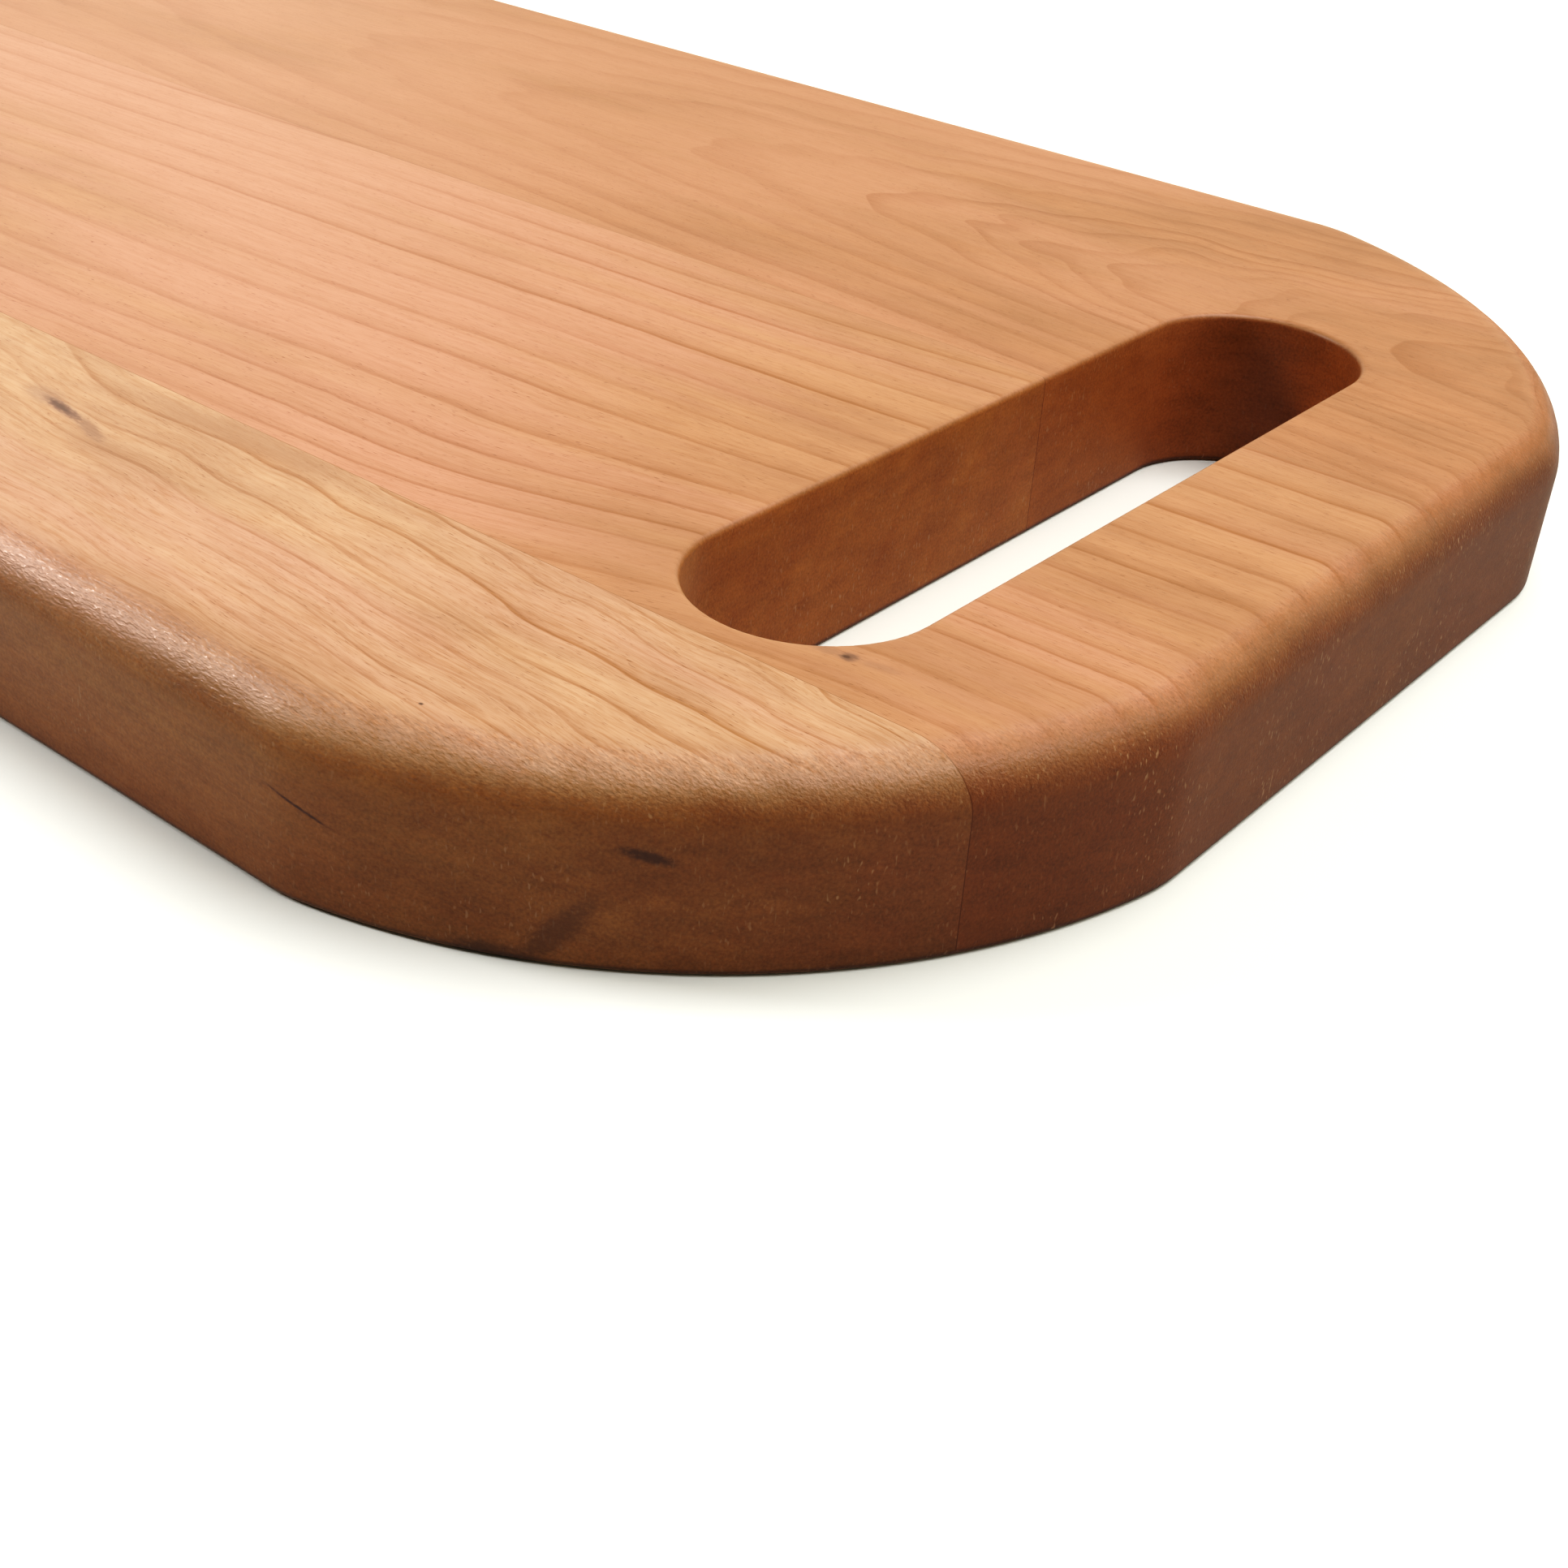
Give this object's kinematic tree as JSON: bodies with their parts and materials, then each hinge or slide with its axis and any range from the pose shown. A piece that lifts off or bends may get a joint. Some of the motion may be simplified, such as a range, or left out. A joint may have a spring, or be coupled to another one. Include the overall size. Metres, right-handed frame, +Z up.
{
  "type": "wooden cutting board",
  "caption": "Edge-glued cherry cutting board with large rounded corners, a routed top edge and a hand slot through the handle end.",
  "frame": {"origin": "middle of the underside, on the surface that the board rests on", "axes": "+X along the board towards the end with the hand slot, +Y across the board towards the widest stave, +Z up out of the cutting face"},
  "size_m": [0.406, 0.203, 0.021],
  "materials": {
    "near_stave": "oiled cherry, satin",
    "middle_stave": "oiled cherry, satin",
    "far_stave": "oiled cherry, satin",
    "glue": "hardened wood glue under oil"
  },
  "bodies": {
    "root": {"near_stave": "near_stave", "near_glue_line": "glue", "middle_stave": "middle_stave", "far_glue_line": "glue", "far_stave": "far_stave"}
  },
  "joints": []
}
